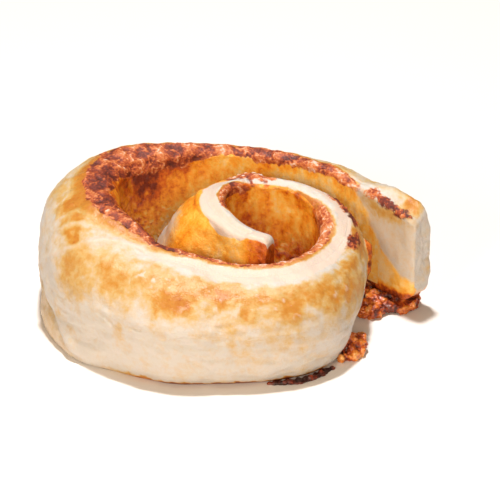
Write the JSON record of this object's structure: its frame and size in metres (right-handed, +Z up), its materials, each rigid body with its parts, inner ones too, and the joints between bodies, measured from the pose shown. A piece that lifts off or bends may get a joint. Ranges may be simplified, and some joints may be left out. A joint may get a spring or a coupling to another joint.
{
  "type": "cheese and bacon scroll",
  "caption": "One baked savoury scroll: a thick strip of dough, spread with filling, coiled loosely on its edge, with a browned crust and burnt filling at its foot",
  "frame": {"origin": "On the surface that the scroll stands on, under the middle of its box", "axes": "+Z up, +X to the outer end of the strip, +Y away from the viewer of the picture, towards the tallest part of the outer coil"},
  "size_m": [0.1112, 0.0882, 0.0387],
  "materials": {
    "dough": "matt",
    "filling": "satin",
    "burnt_filling": "satin"
  },
  "bodies": {
    "root": {"dough_scroll": "dough", "baked_filling": "filling", "leaked_filling_end": "burnt_filling", "leaked_filling_side": "burnt_filling", "leaked_filling_front": "burnt_filling"}
  },
  "joints": []
}
